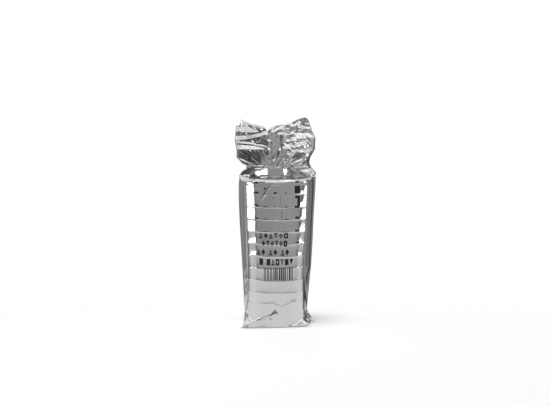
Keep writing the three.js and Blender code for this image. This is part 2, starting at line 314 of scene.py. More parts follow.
def film_radius(angle, x, level, height):
    """The film's distance from the axis on the arc: stack, hoops and slumps, flat stretches that
    turn slightly from side to side, and the front's small folds."""
    turn = np.where(np.abs(angle) > 90, 180 - np.abs(angle), np.abs(angle))
    on_front = np.abs(angle) < 90
    rim, _ = rim_of(level)
    radius = arc_radius(turn, angle, height) + hoops(angle, level) + slumps(angle, x, level)
    radius = radius + FLAT_TURN * zigzag(x + 2 * rim, FLAT_WIDTH, rim)
    for start, end, width, rise in BODY_FOLDS:
        radius = radius + fold(x, height, start, end, width, rise) * on_front
    return radius + tooth(x, height) * on_front


print("film in front of the axis, mm:", film_radius(middle, middle, middle + 90, middle + 90).round(1))

# %% [markdown]
# Each side panel is a straight run from a crease to the bag's edge. A tight panel bulges and has a
# ridge down its middle. The right one is slack near the foot, so there it sags in and is crushed.

# %% The outline of the body
PANEL_RIDGE, TIGHT_BULGE, SLACK_SAG = 0.9, 4.5, 2.8
PANEL_CRUSH, PANEL_STREAK, FOOT_STREAK = 2.0, 1.0, 1.4


def body_outline(angle, level, height):
    """The film round the stack. On the arc it is at film_radius from the axis. Past the crease it
    runs straight to the bag's edge, moved out or in by a parabola, share * (1 - share)."""
    turn = np.where(np.abs(angle) > 90, 180 - np.abs(angle), np.abs(angle))
    reach = np.where(angle >= 0, look_up(RIGHT_REACH, height), look_up(LEFT_REACH, height))
    corner = np.radians(np.minimum(turn, CREASE_ANGLE))
    panel = np.clip((turn - CREASE_ANGLE) / (90 - CREASE_ANGLE), 0, 1)
    tight = np.clip(1 - (reach - STACK_RADIUS) / 5, 0, 1)
    rim_push = hoops(angle, level)
    flat_x = arc_radius(turn, angle, height) * np.sin(corner) * np.where(angle >= 0, 1, -1)
    radius = film_radius(angle, flat_x, level, height)
    parabola = panel * (1 - panel)
    ridge = PANEL_RIDGE * np.clip(1 - np.abs(panel - 0.5) / 0.3, 0, 1)
    firm = np.where(angle >= 0, smooth(height, 38, 62), 1)
    bulge = (TIGHT_BULGE * parabola * tight + ridge) * firm - SLACK_SAG * parabola * (1 - firm)
    low = 1 - smooth(height, 40, 70)
    bulge = bulge + PANEL_CRUSH * parabola * low * zigzag(height + 22 * panel, 9, 81)
    fade = 1 - panel * (1 - tight)
    x = radius * np.sin(corner) * (1 - panel) + (reach + rim_push * fade) * panel + bulge
    y = radius * np.cos(corner) * (1 - panel) + bulge / 2
    strength = PANEL_STREAK + FOOT_STREAK * np.clip(1 - height / 40, 0, 1)
    y = y + strength * parabola * zigzag(level + 30 * panel, 23, 5 + (angle > 0))
    return np.where(angle >= 0, x, -x), np.where(np.abs(angle) > 90, y, -y)


edge_x, _ = body_outline(np.array([-90.0, 90.0]), middle + 90, middle + 90)
print("bag's edges 90 mm up, mm:", edge_x.round(1))

# %% [markdown]
# Above the neck the film is free. Sharp pleats fan out from the gathered neck, long level folds
# cross the left side, and the right side is crushed into small facets. The tables here hold a
# height and a depth, and each fold is a line from start to end with its width and its rise.

# %% Sizes of the head
# The cut edge: the share across the head from left, -1, to right, 1, and the height there.
TOP_EDGE = [
    (-1, 196), (-0.91, 196.4), (-0.88, 202.5), (-0.75, 200), (-0.6, 198), (-0.35, 196), (-0.25, 194),
    (-0.2, 190), (-0.15, 194), (0, 196.5), (0.3, 197.8), (0.45, 199), (0.6, 202), (0.75, 203.6),
    (0.85, 204.4), (0.9, 204), (0.95, 202), (1, 194),
]
# The depth of the head's front at its left, in its middle and at its right.
LEFT_DEPTH = [
    (HEAD_LOW, 24.2), (165, 21.6), (173, 19.8), (178, 15.8), (186.3, 12.6), (189.6, 12.2), (204, 6),
]
MIDDLE_DEPTH = [(HEAD_LOW, 19.6), (168, 19), (178, 16.5), (190, 13.5), (197.5, 10)]
RIGHT_DEPTH = [(HEAD_LOW, 20), (165, 19.6), (173, 17.2), (182, 12), (196, 6), (205, 2)]
# How far the head's left leans back, how deep the pleats are, and how thick the two sheets are.
LEAN = [(157, 0), (173, 0.8), (186.3, 7.6), (189.6, 7.5), (204, 14)]
PLEAT_DEPTH = [(NECK_LOW, 0), (NECK_HIGH, 0.1), (159, 0.55), (166, 0.5), (174, 0.35), (190, 0.1)]
SHEET_GAP = 1.2
HEAD_FOLDS = [
    ((-31, 204), (-29, 192), 2.6, 1.1),
    ((-38, 196.8), (-33.5, 196.2), 1.0, 2.6),
    ((-30, 203), (-24, 195.5), 1.3, 0.9),
    ((-25.5, 197.4), (-21.5, 195), 1.1, 1.8),
    ((25.5, 197.8), (33, 197.4), 0.9, 1.0),
    ((-19, 176.8), (-10, 175.6), 0.9, 0.5),
    ((-40, 179), (-22, 178), 1.6, 0.6),
    ((-30, 197.5), (-13, 193.5), 2.0, 1.0),
    ((-6.2, 173), (-5.7, 163), 1.0, 0.9),
    ((-1.7, 167), (-1.2, 157.5), 0.9, 0.8),
    ((4, 190), (32, 189), 2.4, -1.2),
    ((14, 181), (34, 184.5), 2.2, 1.1),
    ((12, 174), (34, 178), 2.4, 1.2),
    ((18, 158), (33, 165), 3.2, 1.6),
    ((10, 168), (22, 181), 2.2, -1.2),
    ((15, 196), (33, 192), 2.4, 1.4),
    ((-10, 190), (-18, 181), 1.6, 0.4),
    ((8.5, 157), (15.5, 163), 0.8, 0.9),
    ((9, 160.5), (16, 167.5), 0.9, 0.9),
    ((10, 156.8), (19, 160.5), 0.8, 0.8),
    ((13, 165), (21, 172), 0.9, 0.8),
]
DARTS = [
    ((-5.6, 159), (-7, 172), 1.5, 1.7),
    ((-1.9, 155), (-1.5, 164), 1.2, 1.1),
    ((2.4, 160), (4, 172), 1.4, 1.3),
]
FAN_CENTRE = (-3.0, 150.0)
BUNCH_CENTRE = (7.0, 158.0)
print("folds of the head:", len(HEAD_FOLDS) + len(DARTS))

# %% [markdown]
# Crushed foil is a net of flat facets of several sizes. Zigzags that cross at different slants add
# up to such a net. If a coarse zigzag first bends the finer ones, no line runs straight on.

# %% Facets and single folds
# Each row is one zigzag: its direction as shares of x and z, its bend, its period, its strength.
BROAD_FACETS = [(0.8, 0.6, 0, 9, 1), (0.5, -0.87, 0, 8, 0.8)]
FINE_FACETS = [(0.97, 0.24, 1.2, 4.3, 1), (0.5, -0.87, 1.2, 3.9, 1)]
SMALL_FACETS = [(0.7, 0.71, -1.2, 2.2, 1), (0.3, -0.95, 0, 2.9, 1)]
EDGE_FACETS = [
    (0.8, 0.6, 0, 4.1, 0.5), (0.5, -0.87, 0, 2.4, 0.3), (0.26, 0.97, 0, 5.3, 0.5),
    (1, -0.3, 0, 1.7, 0.12),
]


def facets(x, z, rows, seed, wave=0, rounding=0.25):
    """The sum of a table's zigzags, each along its own direction and moved by its share of a wave."""
    return sum(
        strength * zigzag(x * along_x + z * along_z + bend * wave, period, seed + i, rounding)
        for i, (along_x, along_z, bend, period, strength) in enumerate(rows)
    )


def wedge(x, z):
    """A flat facet between two lines that part to the right, and a steep shelf on its top."""
    top, foot = 181.8 + (x + 34) * 0.217, 181.2 - (x + 34) * 0.113
    tall = np.maximum(top - foot, 0.6)
    shape = np.where(z < top, np.clip((z - foot) / tall, 0, 1), np.clip(1 - (z - top) / 3.2, 0, 1))
    slope = 0.2 + 0.23 * smooth(-x, 13, 20)
    return slope * tall * shape * smooth(x, -37, -32) * (1 - smooth(x, -12, -5))


def dart(x, z, foot, tip, width, height):
    """A fold that starts at nothing at its foot and grows to its full height at its tip."""
    grown = (z - foot[1]) / (tip[1] - foot[1])
    return fold(x, z, foot, tip, width, height) * np.clip(grown, 0, 1)


def crumple(x, z, seed):
    """Broad, fine and small facets. They are soft on the left, a little stronger in its peak, and
    strongest on the right. The fine ones are on the right alone, the small ones not on the left."""
    right = smooth(x, 4, 11)
    wave = zigzag(x * 0.4 + z * 0.92, 6.3, seed + 6)
    soft = 0.1 + 0.16 * smooth(z, 188, 192)
    broad = (soft * (1 - right) + 0.52 * right) * facets(x, z, BROAD_FACETS, seed)
    fine = 0.36 * right * facets(x, z, FINE_FACETS, seed + 2, wave)
    not_left = smooth(x, -14, -8)
    small = (0.08 + 0.17 * right) * not_left * facets(x, z, SMALL_FACETS, seed + 4, wave, 0)
    return broad + fine + small


def shoulder_crumple(x, z):
    """The film bunched beside the neck: pleats that fan out from the neck's right corner, and small
    facets across them."""
    centre_x, centre_z = BUNCH_CENTRE
    bunched = smooth(x, 7.5, 10) * smooth(z, 145.5, 147.5) * (1 - smooth(z, 156, 161))
    bunched = bunched + 0.5 * smooth(-x, 19, 21) * smooth(z, 146, 148) * (1 - smooth(z, 154, 157))
    away = np.hypot(x - centre_x, z - centre_z)
    turn = np.degrees(np.arctan2(centre_z - z, np.abs(x - centre_x) + 0.5))
    spokes = zigzag(turn, 10, 51) * np.clip(away / 9, 0.3, 1.4)
    return bunched * (0.55 * spokes + 0.4 * zigzag(x * 0.5 + z * 0.87 + 0.5 * spokes, 2.9, 52))


across_head = np.linspace(-30, 30, 7)
print("crumple across the head, mm:", crumple(across_head, 180 + 0 * across_head, 8).round(2))

# %% [markdown]
# The head is a front sheet and a back sheet, each worked out as a distance from the axis. Where
# they lie close together the back one follows the front one, so that they crumple as one and never
# pass through each other.

# %% The two sheets of the head
NECK_SLOPE, WING_SLOPE = 0.84, 0.7
LOBE_SLOPE, EAR_SLOPE = 0.16, 0.27
DOME_PLACE, DOME_RISE = (-6.6, 179.2), 0.7


def depth_at(x, height):
    """How far the front of the neck or head lies from the axis before its folds. The neck is flat
    in its middle and slopes back on either side. The head is a mix of its left, middle and right."""
    to_left, to_right = smooth(-x, 6, 17), smooth(x, 3, 14)
    past_left = np.clip(-8 - x, 0, 14)
    folded = past_left + 0.006 * past_left**2 + np.where(x < 8, np.clip(x - 5, 0, 3) ** 2 / 6, x - 6.5)
    folded = np.minimum(folded, np.where(x > 0, 5, 14))
    in_neck = smooth(height, 145.4, 146.4) * (1 - smooth(height, NECK_HIGH, HEAD_LOW))
    neck = look_up(FRONT_DEPTH, height) - NECK_SLOPE * folded * in_neck
    head = look_up(MIDDLE_DEPTH, height) * (1 - to_left - to_right)
    head = head + look_up(LEFT_DEPTH, height) * to_left + look_up(RIGHT_DEPTH, height) * to_right
    return np.where(height < HEAD_LOW, neck, head)


def sheet_out(across, x, height, seed):
    """How far one sheet lies from the axis: a rounded swell, straight on the left wing, and on it
    the pleats, facets and folds, which die away at the side edges. The pleats are zigzags of the
    angle round the fan's centre. The right lobe and the right ear slope back."""
    lobe = smooth(x, 12, 18) * smooth(height, 157, 160) * (1 - smooth(height, 168, 173))
    rounded = np.clip(1 - np.abs(across) ** (2.3 + 7 * lobe), 0, 1) ** 0.62
    wing = smooth(-x, 2, 12) * smooth(height, 156.4, 158) * (1 - smooth(height, 170, 186))
    closing = np.clip((1 - np.abs(across)) / 0.05, 0, 1) ** 0.5
    straight = (1 - WING_SLOPE * np.clip((-8 - x) / 30, 0, 1)) * closing
    swell = depth_at(x, height) * (rounded * (1 - wing) + straight * wing)
    in_head = smooth(height, NECK_HIGH - 1, NECK_HIGH + 6)
    fan = np.degrees(np.arctan2(x - FAN_CENTRE[0], np.maximum(height - FAN_CENTRE[1], 1)))
    left = smooth(-x, 6, 10)
    left_pleats = 0.26 * zigzag(fan, 3.1, seed + 1) + 0.26 * zigzag(fan, 7.3, seed + 2)
    pleats = 0.7 * (1 - left) * zigzag(fan, 8.2, seed) + left * left_pleats
    crushed = in_head * crumple(x, height, seed + 5) * (1 - 0.75 * lobe * (x > 0))
    relief = look_up(PLEAT_DEPTH, height) * pleats + crushed
    relief = relief + shoulder_crumple(x, height)
    from_dome = np.hypot(x - DOME_PLACE[0], height - DOME_PLACE[1])
    relief = relief + DOME_RISE * np.clip(1 - from_dome**2 / 12, 0, 1) + wedge(x, height)
    relief = relief - LOBE_SLOPE * np.clip(x - 12, 0, 15) * lobe
    relief = relief - EAR_SLOPE * np.clip(x - 17, 0, 11) * smooth(height, 193, 196)
    for foot, tip, width, rise in DARTS:
        relief = relief + dart(x, height, foot, tip, width, rise)
    for start, end, width, rise in HEAD_FOLDS:
        relief = relief + in_head * fold(x, height, start, end, width, rise)
    edge = np.clip((1 - np.abs(across)) * 8, 0, 1)
    return np.maximum(SHEET_GAP * edge / 2, swell + relief * np.clip(swell / 9, 0, 1))


def head_outline(across, height, front, in_head):
    """The neck and head. x is the share across times the bag's reach. Towards the cut edge the
    back sheet comes forward until the two lie together. Both sheets wave as one, lean back on the
    left, and share the facets along the cut edge."""
    x = across * np.where(across < 0, look_up(LEFT_REACH, height), look_up(RIGHT_REACH, height))
    front_out = sheet_out(across, x, height, 3)
    gap = SHEET_GAP * np.clip((1 - np.abs(across)) * 8, 0, 1)
    share = smooth(in_head, 0.45, 1)
    back = sheet_out(-across, -x, height, 17) * (1 - share) + (gap - front_out) * share
    wave = smooth(height, NECK_HIGH - 1, NECK_HIGH + 6) * 1.6 * zigzag(x + 3, 17, 41) * np.abs(across) ** 2
    lean = look_up(LEAN, height) * smooth(-x, 9, 30)
    lean = lean - 2 * smooth(-x, 20, 33) * smooth(height, 155, 157) * (1 - smooth(height, 157, 169))
    edge = smooth(height, 183, 192) * (0.25 + 0.75 * smooth(x, 2, 9))
    lean = lean + edge * facets(x, height, EDGE_FACETS, 91)
    return x, np.where(front, -front_out, back) + wave + lean


print("head's depth across it, mm:", depth_at(across_head, 170 + 0 * across_head).round(1))

# %% [markdown]
# The rows of the grid are level up to the neck. Above it they spread out to follow the cut edge,
# so the notch and the two peaks come from whole rows and the edge itself is clean.

# %% The skin as one function of an angle and a row
BODY_TOP = NECK_LOW + 1
FOOT_TUCK, TUCK_HEIGHT = 0.05, 1.8


def skin(angle, level, in_head, overhang):
    """A point of the film, in mm, for an angle round the axis and a row. The body's outline turns
    into the head's between the shoulder and the neck, the lip under the head overhangs the neck,
    and at the foot the film is tucked in a little."""
    angle, level, in_head, overhang = np.broadcast_arrays(angle, level, in_head, overhang)
    front = np.abs(angle) <= 90
    even = np.sign(angle) * np.where(front, np.abs(angle), 180 - np.abs(angle)) / 90
    moved = level + wander(angle, level) * (level < SHOULDER) * (level > LOWEST_RIM + 5)
    top = look_up(TOP_EDGE, even)
    height = moved + (top - moved) * in_head**1.15
    spread = np.sin(even * np.pi / 2) * (1 - np.sqrt(in_head)) + even * np.sqrt(in_head)
    body_x, body_y = body_outline(angle, np.minimum(level, BODY_TOP), np.minimum(height, BODY_TOP))
    head_x, head_y = head_outline(spread, height, front, in_head)
    share = smooth(height, SHOULDER, BODY_TOP)
    lip = np.where(front, -1, 1) * overhang * np.cos(even * np.pi / 2)
    out = drawn_out(angle, height) * (1 - FOOT_TUCK * np.clip(1 - height / TUCK_HEIGHT, 0, 1) ** 2)
    x = (body_x * (1 - share) + head_x * share) * out
    y = (body_y * (1 - share) + head_y * share) * out + lip
    return np.stack([x, y, height], -1)


COLUMNS, HEAD_ROWS = 332, 96


def rows_of_the_grid():
    """Rows of level, share of the head and overhang: level rows that lie close together at each
    rim, then the neck, the lip under the head, and the head's rows."""
    near = np.array([-3.6, -2, -1.1, -0.7, -0.35, 0, 0.35, 0.7, 1.1, 2, 3.6, 6])
    rims = LOWEST_RIM + PAD_PITCH * np.arange(1, PAD_COUNT)
    bottom = np.r_[0, 0.3, 0.7, np.arange(1.2, 14, 0.6), 15, 16.2]
    body = (rims[:, None] + near).ravel()
    between = np.array([-5.2, -4.4, -2.8, 2.8, 4.4, 5.2])
    body = np.r_[body, (rims[7:11, None] + between).ravel()]
    shoulder = np.arange(SHOULDER + 0.4, BODY_TOP, 0.4)
    neck = np.arange(BODY_TOP + 0.4, NECK_HIGH, 1.3)
    levels = np.unique(np.r_[bottom, body[body < SHOULDER], shoulder, neck, NECK_HIGH])
    lip = np.array([155.0, 154.6, 155.4])
    lip_out = np.array([1.6, 3.2, 3.6])
    in_head = np.linspace(0, 1, HEAD_ROWS)
    rows = [(z, 0, 0) for z in levels] + [(z, 0, o) for z, o in zip(lip, lip_out)]
    return np.array(rows + [(HEAD_LOW, t, 0) for t in in_head], float)


print("grid:", len(rows_of_the_grid()), "rows of", COLUMNS)

# %% Mesh helpers
def make_mesh(name, points, faces, material):
    """A smooth-shaded object at the origin, from points in mm and faces."""
    mesh = bpy.data.meshes.new(name)
    mesh.from_pydata((np.asarray(points, float) * MM).tolist(), [], [list(map(int, f)) for f in faces])
    mesh.polygons.foreach_set("use_smooth", np.ones(len(mesh.polygons), bool))
    mesh.materials.append(material)
    mesh.update()
    piece = bpy.data.objects.new(name, mesh)
    bpy.context.collection.objects.link(piece)
    return piece


def grid_faces(rows, columns, closed=True):
    """Quads between neighbouring rows and columns of a grid, joined round if closed."""
    r, c = np.mgrid[0 : rows - 1, 0 : columns if closed else columns - 1]
    a, b = r * columns + c, r * columns + (c + 1) % columns
    return np.stack([a, b, b + columns, a + columns], -1).reshape(-1, 4)


print("a closed grid of 3 rows and 4 columns has", len(grid_faces(3, 4)), "faces")

# %% [markdown]
# Shader maths reads best as Python. This small class wraps a socket, so that adding or multiplying
# two wrapped sockets adds the Math nodes.

# %% A socket that can be added and multiplied
class Value:
    """One output socket of a node tree, with + and * as Math nodes."""

    def __init__(self, tree, socket):
        self.tree, self.socket = tree, socket

    def maths(self, operation, first, second):
        node = add_node(self.tree, "ShaderNodeMath", {"operation": operation}, {0: first, 1: second})
        return Value(self.tree, node.outputs[0])

    def __add__(self, other):
        return self.maths("ADD", self, other)

    def __mul__(self, other):
        return self.maths("MULTIPLY", self, other)


def add_node(tree, kind, settings, inputs):
    """A node of a kind: its settings first, where stops are a ramp's places and greys, then a value
    or a link for each named socket."""
    node = tree.nodes.new(kind)
    for name, setting in settings.items():
        if name == "stops":
            for stop, (place, shade) in zip(stops_of(node, len(setting)), setting):
                stop.position, stop.color = place, (shade, shade, shade, 1)
        else:
            setattr(node, name, setting)
    for name, value in inputs.items():
        if isinstance(value, Value):
            tree.links.new(value.socket, node.inputs[name])
        else:
            node.inputs[name].default_value = value
    return node


def stops_of(node, count):
    """The colour stops of a ramp, with new ones added until there are enough."""
    while len(node.color_ramp.elements) < count:
        node.color_ramp.elements.new(1)
    return node.color_ramp.elements


def out_of(tree, node, name=0):
    """One output of a node, wrapped."""
    return Value(tree, node.outputs[name])


def new_material(name):
    """An empty node material with its Principled shader wired to the output."""
    material = bpy.data.materials.new(name)
    material.use_nodes = True
    tree = material.node_tree
    return material, tree, tree.nodes["Principled BSDF"]


print("socket maths: + and *")

# %% [markdown]
# Metallised film is a mirror with a grey tint. Its wear is in the gloss: handling leaves faint
# cloudy patches, and the thin metal layer is finely crazed along creases. A bump at two scales
# gives the small crinkles that are too fine for the mesh.

# %% Foil
DARK_TINT, PALE_TINT = (0.53, 0.53, 0.535, 1), (0.61, 0.61, 0.61, 1)


def foil_material():
    """Cloudy noise for the tint and the gloss, and fine noise and a crazed net for the bump."""
    material, tree, shader = new_material("bright_foil")
    place = out_of(tree, add_node(tree, "ShaderNodeTexCoord", {}, {}), "Object")

    def noise(scale, detail, stretch=(1, 1, 1)):
        turned = add_node(tree, "ShaderNodeMapping", {}, {"Vector": place, "Scale": stretch})
        source = {"Vector": out_of(tree, turned), "Scale": scale, "Detail": detail}
        return out_of(tree, add_node(tree, "ShaderNodeTexNoise", {}, source), "Fac")

    clouds = noise(55, 4)
    crinkles = noise(420, 3, (1, 1, 0.45))
    net = {"Vector": place, "Scale": 260}
    net = add_node(tree, "ShaderNodeTexVoronoi", {"feature": "DISTANCE_TO_EDGE"}, net)
    from_edge = out_of(tree, net) * 6
    crazed = from_edge.maths("MINIMUM", from_edge, 1.0)
    tints = {"Factor": clouds, "A": DARK_TINT, "B": PALE_TINT}
    tint = add_node(tree, "ShaderNodeMix", {"data_type": "RGBA"}, tints)
    tree.links.new(tint.outputs["Result"], shader.inputs["Base Color"])
    shader.inputs["Metallic"].default_value = 1.0
    tree.links.new((clouds * 0.10 + crinkles * 0.06 + 0.03).socket, shader.inputs["Roughness"])
    height = crinkles + crazed * 0.25
    bump = add_node(tree, "ShaderNodeBump", {}, {"Strength": 0.35, "Distance": 0.00006, "Height": height})
    tree.links.new(bump.outputs[0], shader.inputs["Normal"])
    return material


foil = foil_material()
print("foil nodes:", len(foil.node_tree.nodes))

# %% [markdown]
# One closed surface stands for the whole bag. The underside is a fan round a centre point, and at
# the cut edge each front point is joined to the back point behind it.

# %% The foil skin
def skin_mesh():
    """The grid of skin points, a fan under it, and triangles across the cut edge."""
    rows = rows_of_the_grid()
    angle = -180 + 360 * np.arange(COLUMNS) / COLUMNS
    points = skin(angle[None, :], *(rows[:, i : i + 1] for i in range(3)))
    flat = np.vstack([points.reshape(-1, 3), [[0, 0, 0]]])
    ring = np.arange(COLUMNS)
    base = np.stack([(ring + 1) % COLUMNS, ring, np.full(COLUMNS, len(flat) - 1)], -1)
    top, quarter, half = (len(rows) - 1) * COLUMNS, COLUMNS // 4, COLUMNS // 2
    i = np.arange(half)
    front_now, front_next = top + quarter + i, top + quarter + i + 1
    back_now, back_next = top + (quarter - i) % COLUMNS, top + (quarter - i - 1) % COLUMNS
    edge = [[a, b, d] for a, b, d in zip(front_now[1:], front_next[1:], back_now[1:])]
    edge += [[b, e, d] for b, e, d in zip(front_next[:-1], back_next[:-1], back_now[:-1])]
    faces = [*grid_faces(len(rows), COLUMNS), *base, *edge]
    piece = make_mesh("foil_skin", flat, faces, foil)
    print("foil skin:", len(rows), "rows,", 2 * len(rows) * COLUMNS, "triangles")
    return piece


bag = skin_mesh()
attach(bag, "root")
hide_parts("foil_bag")

# %% [markdown]
# The front is printed in black with four rows of small plain shapes and a field of upright bars.
# Printed ink has a thickness and an edge, so each shape is a thin slab that follows the film and
# its hoops, not a picture. Patches of painted shade above the rims are black slabs made the same way.

# %% Where the film is on the front
SLAB_LIFT = 0.1


def film_point(x, z, lift):
    """The film's point at x and z on the front, lifted off it: the turn is found from x by
    repeating turn = arcsin(x / radius) a few times, and z wanders as the rows do."""
    turn = np.degrees(np.arcsin(x / STACK_RADIUS))
    for _ in range(5):
        radius = film_radius(turn, x, z, z)
        turn = np.degrees(np.arcsin(np.clip(x / radius, -1, 1)))
    return np.stack([x, -(radius + lift) * np.cos(np.radians(turn)), z + wander(turn, z)], -1)


def slab(x, z, closed):
    """A black slab of print or of painted shade, from a grid of places, two or more across: its face,
    its back, which lies in the film, and a thin edge. A closed grid is a ring and has two edges."""
    rows, columns = x.shape
    front = film_point(x, z, SLAB_LIFT).reshape(-1, 3)
    back = film_point(x, z, -SLAB_LIFT).reshape(-1, 3)
    faces = grid_faces(rows, columns, closed)
    back_faces = faces[:, ::-1] + len(front)
    count = rows * columns
    if closed:
        inner, outer = np.arange(columns), (rows - 1) * columns + np.arange(columns)
        loops = [inner[::-1], outer]
    else:
        around = np.r_[
            np.arange(columns),
            columns * np.arange(1, rows) + columns - 1,
            (rows - 1) * columns + np.arange(columns - 2, -1, -1),
            columns * np.arange(rows - 2, 0, -1),
        ]
        loops = [around]
    sides = []
    for loop in loops:
        after = np.roll(loop, -1)
        sides.append(np.stack([after, loop, loop + count, after + count], -1))
    return np.vstack([front, back]), np.vstack([faces, back_faces, *sides])


print("film at x 0 and z 90, mm:", film_point(middle, middle + 90, 0).round(1))

# %% Printed shapes
STROKE, PINHOLE = 1.4, 0.04
# The corners of a square, a diamond, a triangle on its tip and one on its side.
SHAPES = [
    [(-1, -1), (1, -1), (1, 1), (-1, 1)],
    [(0, -1), (1, 0), (0, 1), (-1, 0)],
    [(0, -1), (1, 1), (-1, 1)],
    [(-1, -1), (1, -1), (0, 1)],
]


def bar(x0, x1, z0, z1):
    """A filled rectangle, fine enough upwards to follow the hoops."""
    columns = max(2, int((x1 - x0) / 1.2) + 2)
    rows = max(3, int((z1 - z0) / 0.3))
    z, x = np.meshgrid(np.linspace(z0, z1, rows), np.linspace(x0, x1, columns), indexing="ij")
    return slab(x, z, False)


def outline_shape(centre_x, centre_z, half_width, half_height, corners, filled):
    """One of the shapes at its place: its outline, or filled but for a pinhole."""
    corners = np.array(corners, float)
    t = np.arange(12)[:, None] / 12
    loop = np.vstack([a + (b - a) * t for a, b in zip(corners, np.roll(corners, -1, 0))])
    mean = corners.mean(0)
    inset = PINHOLE if filled else max(0.1, 1 - 2.2 * STROKE / (half_width + half_height))
    x, z = np.stack([mean + (loop - mean) * inset, loop]).transpose(2, 0, 1)
    return slab(centre_x + half_width * x, centre_z + half_height * z, True)


print("shapes:", len(SHAPES))

# %% [markdown]
# The print and the painted shade are laid out by a few tables. A row of shapes has a left and a right
# end, a foot and a top, and the number of shapes in each of its groups. A patch of painted shade, or
# a thin line, has its two ends in x and in height.

# %% The print and the painted shade
PRINT_ROWS = [
    (-17.0, 12.3, 87.7, 93.2, [6]),
    (-14.1, 11.4, 80.2, 85.6, [6]),
    (-18.8, 13.3, 71.2, 77.4, [2, 2, 2]),
    (-16.4, 17.2, 61.6, 67.7, [1, 6]),
]
GROUP_GAP = 0.6
BAR_FIELD = (-11.6, 17.6, 46.6, 59.2)
THIN_BAR, THIN_GAP = 0.6, 0.62
TICK_WIDTH, TICK_PITCH = 0.8, 2.3
# Painted shade: black patches just above the rims, most of them beside the creases where the film slumps.
PAINTED_SHADE_MARKS = [
    (18.3, 23.8, 131.2, 138.4), (18.8, 23.8, 126.4, 129.2), (21.0, 23.8, 119.4, 126.4),
    (18.3, 23.0, 117.2, 119.4), (18.9, 22.8, 106.8, 108.7), (18.9, 22.9, 94.1, 95.8),
    (19.3, 23.2, 82.8, 84.0), (18.9, 22.8, 141.2, 142.9), (-21.2, -17.4, 141.2, 143.0),
    (-20.8, -16.8, 130.5, 132.6), (-19.6, -16.9, 118.3, 120.2), (-20.3, -16.9, 105.7, 107.3),
    (-1.9, 0.9, 130.4, 132.4), (-11.2, -9.6, 118.4, 119.3), (-1.8, -0.2, 118.4, 119.2),
    (9.2, 10.8, 118.5, 119.3), (8.8, 10.6, 131.6, 132.4), (9.4, 11.0, 106.4, 107.2),
    (-11, -9.5, 106.2, 107), (-11.4, -9.4, 135.0, 136.8),
]
# Thin black lines: the first three are painted shade along the upright crease at x 5 to 7, which is also
# folded in; the other four lie level.
THIN_LINES = [
    (4.7, 5.0, 119.9, 129.6), (5.6, 5.95, 107.3, 114.7), (7.0, 7.35, 100.0, 103.0),
    (9.6, 17.3, 116.6, 116.9), (13.4, 15.4, 99.4, 99.8), (-4.0, -1.0, 126.7, 127.0),
    (10.6, 13.0, 101.4, 101.7),
]


def print_and_painted_shade():
    """All the slabs: the patches of painted shade and the thin lines, each row's shapes in groups with a
    gap, the bars and the ticks under them. Kinds, bars and gaps are scattered, always in the same way."""
    marks = [bar(*place) for place in PAINTED_SHADE_MARKS + THIN_LINES]
    for row, (x0, x1, z0, z1, groups) in enumerate(PRINT_ROWS):
        pitch = (x1 - x0) / (sum(groups) + GROUP_GAP * (len(groups) - 1))
        left = x0
        for number in groups:
            for i in range(number):
                kind, fill = scatter(i + 1, row + 83), scatter(i, row + 8)
                centre = left + (i + 0.5) * pitch
                size = (0.41 * pitch, (z1 - z0) / 2)
                corners = SHAPES[int(len(SHAPES) * kind)]
                marks.append(outline_shape(centre, (z0 + z1) / 2, *size, corners, fill > 0.75))
            left += (number + GROUP_GAP) * pitch
    x, end, low, high = BAR_FIELD
    step = 0
    while x < end - 0.5:
        wide = THIN_BAR * (1 + int(2.3 * scatter(step, 61) ** 2))
        marks.append(bar(x, min(x + wide, end), low, high))
        x += wide + THIN_GAP * (1 + int(1.9 * scatter(step, 62) ** 1.5))
        step += 1
    ticks = np.arange(-13.5, 17, TICK_PITCH)
    marks += [bar(x, x + TICK_WIDTH, low - 1.5, low - 0.7) for x in ticks]
    return marks


def ink_and_shade_material():
    """Black with a slight, uneven sheen, for the print and for the painted shade."""
    material, tree, shader = new_material("black_ink_and_painted_shade")
    place = out_of(tree, add_node(tree, "ShaderNodeTexCoord", {}, {}), "Object")
    worn = add_node(tree, "ShaderNodeTexNoise", {}, {"Vector": place, "Scale": 900, "Detail": 3})
    worn = out_of(tree, worn, "Fac")
    ramp = add_node(tree, "ShaderNodeValToRGB", {"stops": [(0.3, 0.008), (0.75, 0.03)]}, {"Fac": worn})
    tree.links.new(ramp.outputs[0], shader.inputs["Base Color"])
    tree.links.new((worn * 0.25 + 0.3).socket, shader.inputs["Roughness"])
    shader.inputs["Specular IOR Level"].default_value = 0.2
    return material


marks = print_and_painted_shade()
offsets = np.cumsum([0] + [len(points) for points, _ in marks])
print_and_shade_piece = make_mesh(
    "print_and_painted_shade",
    np.vstack([points for points, _ in marks]),
    np.vstack([faces + start for (_, faces), start in zip(marks, offsets)]),
    ink_and_shade_material(),
)
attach(print_and_shade_piece, "root")
print("printed marks:", len(marks))

# %% [markdown]
# A mirror is lit by what it reflects. The pale table reaches half a metre round the bag and makes
# the foot of the film light. It is a little bright of itself, and fades out far from the bag, so
# that the white ground behind it takes over without a seam. It is not part of the bag, so it is
# stage.

# %% Table
TABLE_REACH, FADE_START = 0.62, 0.16
TABLE_SINK, TABLE_GLOW = 0.05, 0.31
RINGS, SPOKES = 11, 96


